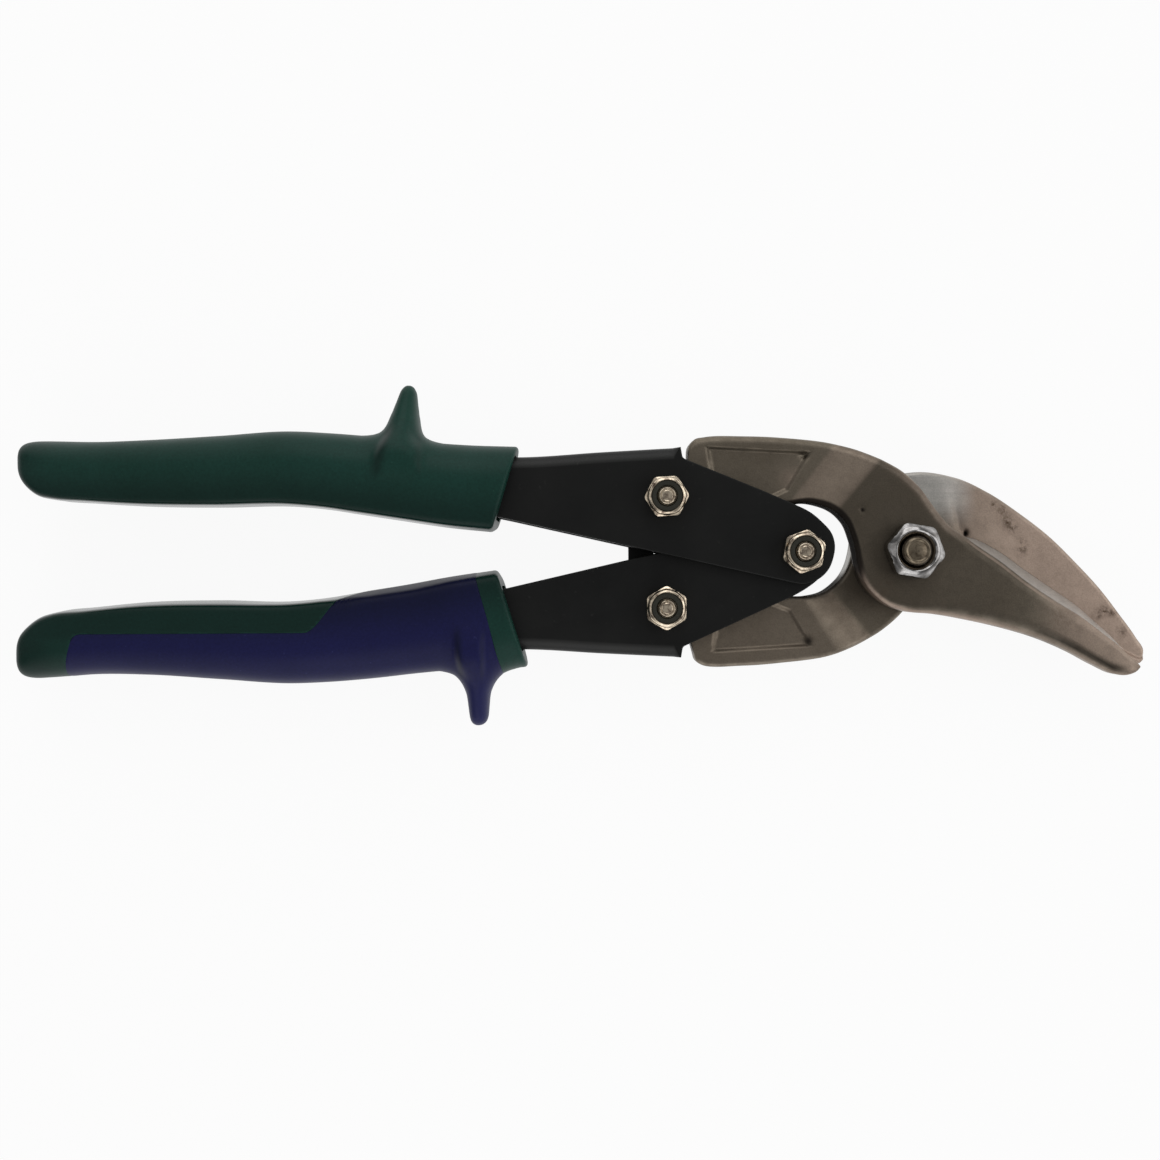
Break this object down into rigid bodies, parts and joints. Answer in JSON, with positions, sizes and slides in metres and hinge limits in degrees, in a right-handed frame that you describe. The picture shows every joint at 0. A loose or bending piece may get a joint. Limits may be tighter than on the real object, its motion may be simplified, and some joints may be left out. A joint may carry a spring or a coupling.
{
  "type": "aviation snips",
  "caption": "Compound-action aviation snips with offset curved blades, stamped channel handles, return spring, closing latch and moulded grips with hand guards.",
  "frame": {"origin": "on the jaw pivot's axis, at the underside of the pivot bolt's head, which the tool lies on", "axes": "+X along the tool towards the blade tips, +Y across it towards the upper handle, +Z square to the flat side, towards the nuts"},
  "size_m": [0.2496, 0.0751, 0.0257],
  "materials": {
    "forged_steel": "brown-grey scaled forging, dull sheen",
    "chrome": "bright plating",
    "black_steel": "satin black oxide",
    "nickel": "warm nickel plating",
    "nylon": "dark nylon ring",
    "green_grip": "fine-grained dark green moulding",
    "violet_grip": "fine-grained blue-violet soft moulding",
    "spring_steel": "drawn wire"
  },
  "bodies": {
    "lower_handle": {"lower_handle": "black_steel", "lower_grip": "green_grip", "lower_grip_overmould": "violet_grip", "handle_pivot_bolt": "nickel", "handle_pivot_nut": "nickel", "handle_pivot_insert": "nylon", "lower_link_bolt": "nickel", "lower_link_nut": "nickel", "lower_link_insert": "nylon", "spring_bushing": "nickel", "return_spring": "spring_steel"},
    "upper_handle": {"upper_handle": "black_steel", "upper_grip": "green_grip", "upper_link_bolt": "nickel", "upper_link_nut": "nickel", "upper_link_insert": "nylon"},
    "rear_jaw": {"rear_jaw": "forged_steel", "pivot_bolt": "chrome", "pivot_nut": "chrome"},
    "front_jaw": {"front_jaw": "forged_steel"},
    "latch": {"latch": "black_steel"}
  },
  "joints": [
    {"name": "handle_hinge", "type": "hinge", "parent": "lower_handle", "child": "upper_handle", "pos_m": [-0.0237, 0, 0.01165], "axis": [0, 0, -1], "range_deg": [0, 30], "deforming": ["return_spring"]},
    {"name": "rear_jaw_hinge", "type": "hinge", "parent": "lower_handle", "child": "rear_jaw", "pos_m": [-0.0532, -0.01205, 0.01165], "axis": [0, 0, -1], "range_deg": [0, 7.1]},
    {"name": "jaw_hinge", "type": "hinge", "parent": "rear_jaw", "child": "front_jaw", "pos_m": [0, 0, 0.01165], "axis": [0, 0, -1], "range_deg": [0, 16]},
    {"name": "latch_hinge", "type": "hinge", "parent": "upper_handle", "child": "latch", "pos_m": [-0.0532, 0.01205, 0.01165], "axis": [0, 0, 1], "range_deg": [0, 8]}
  ],
  "couplings": [
    {"joint": "rear_jaw_hinge", "follows": "handle_hinge", "ratio": 0.235},
    {"joint": "jaw_hinge", "follows": "handle_hinge", "ratio": 0.5325}
  ]
}
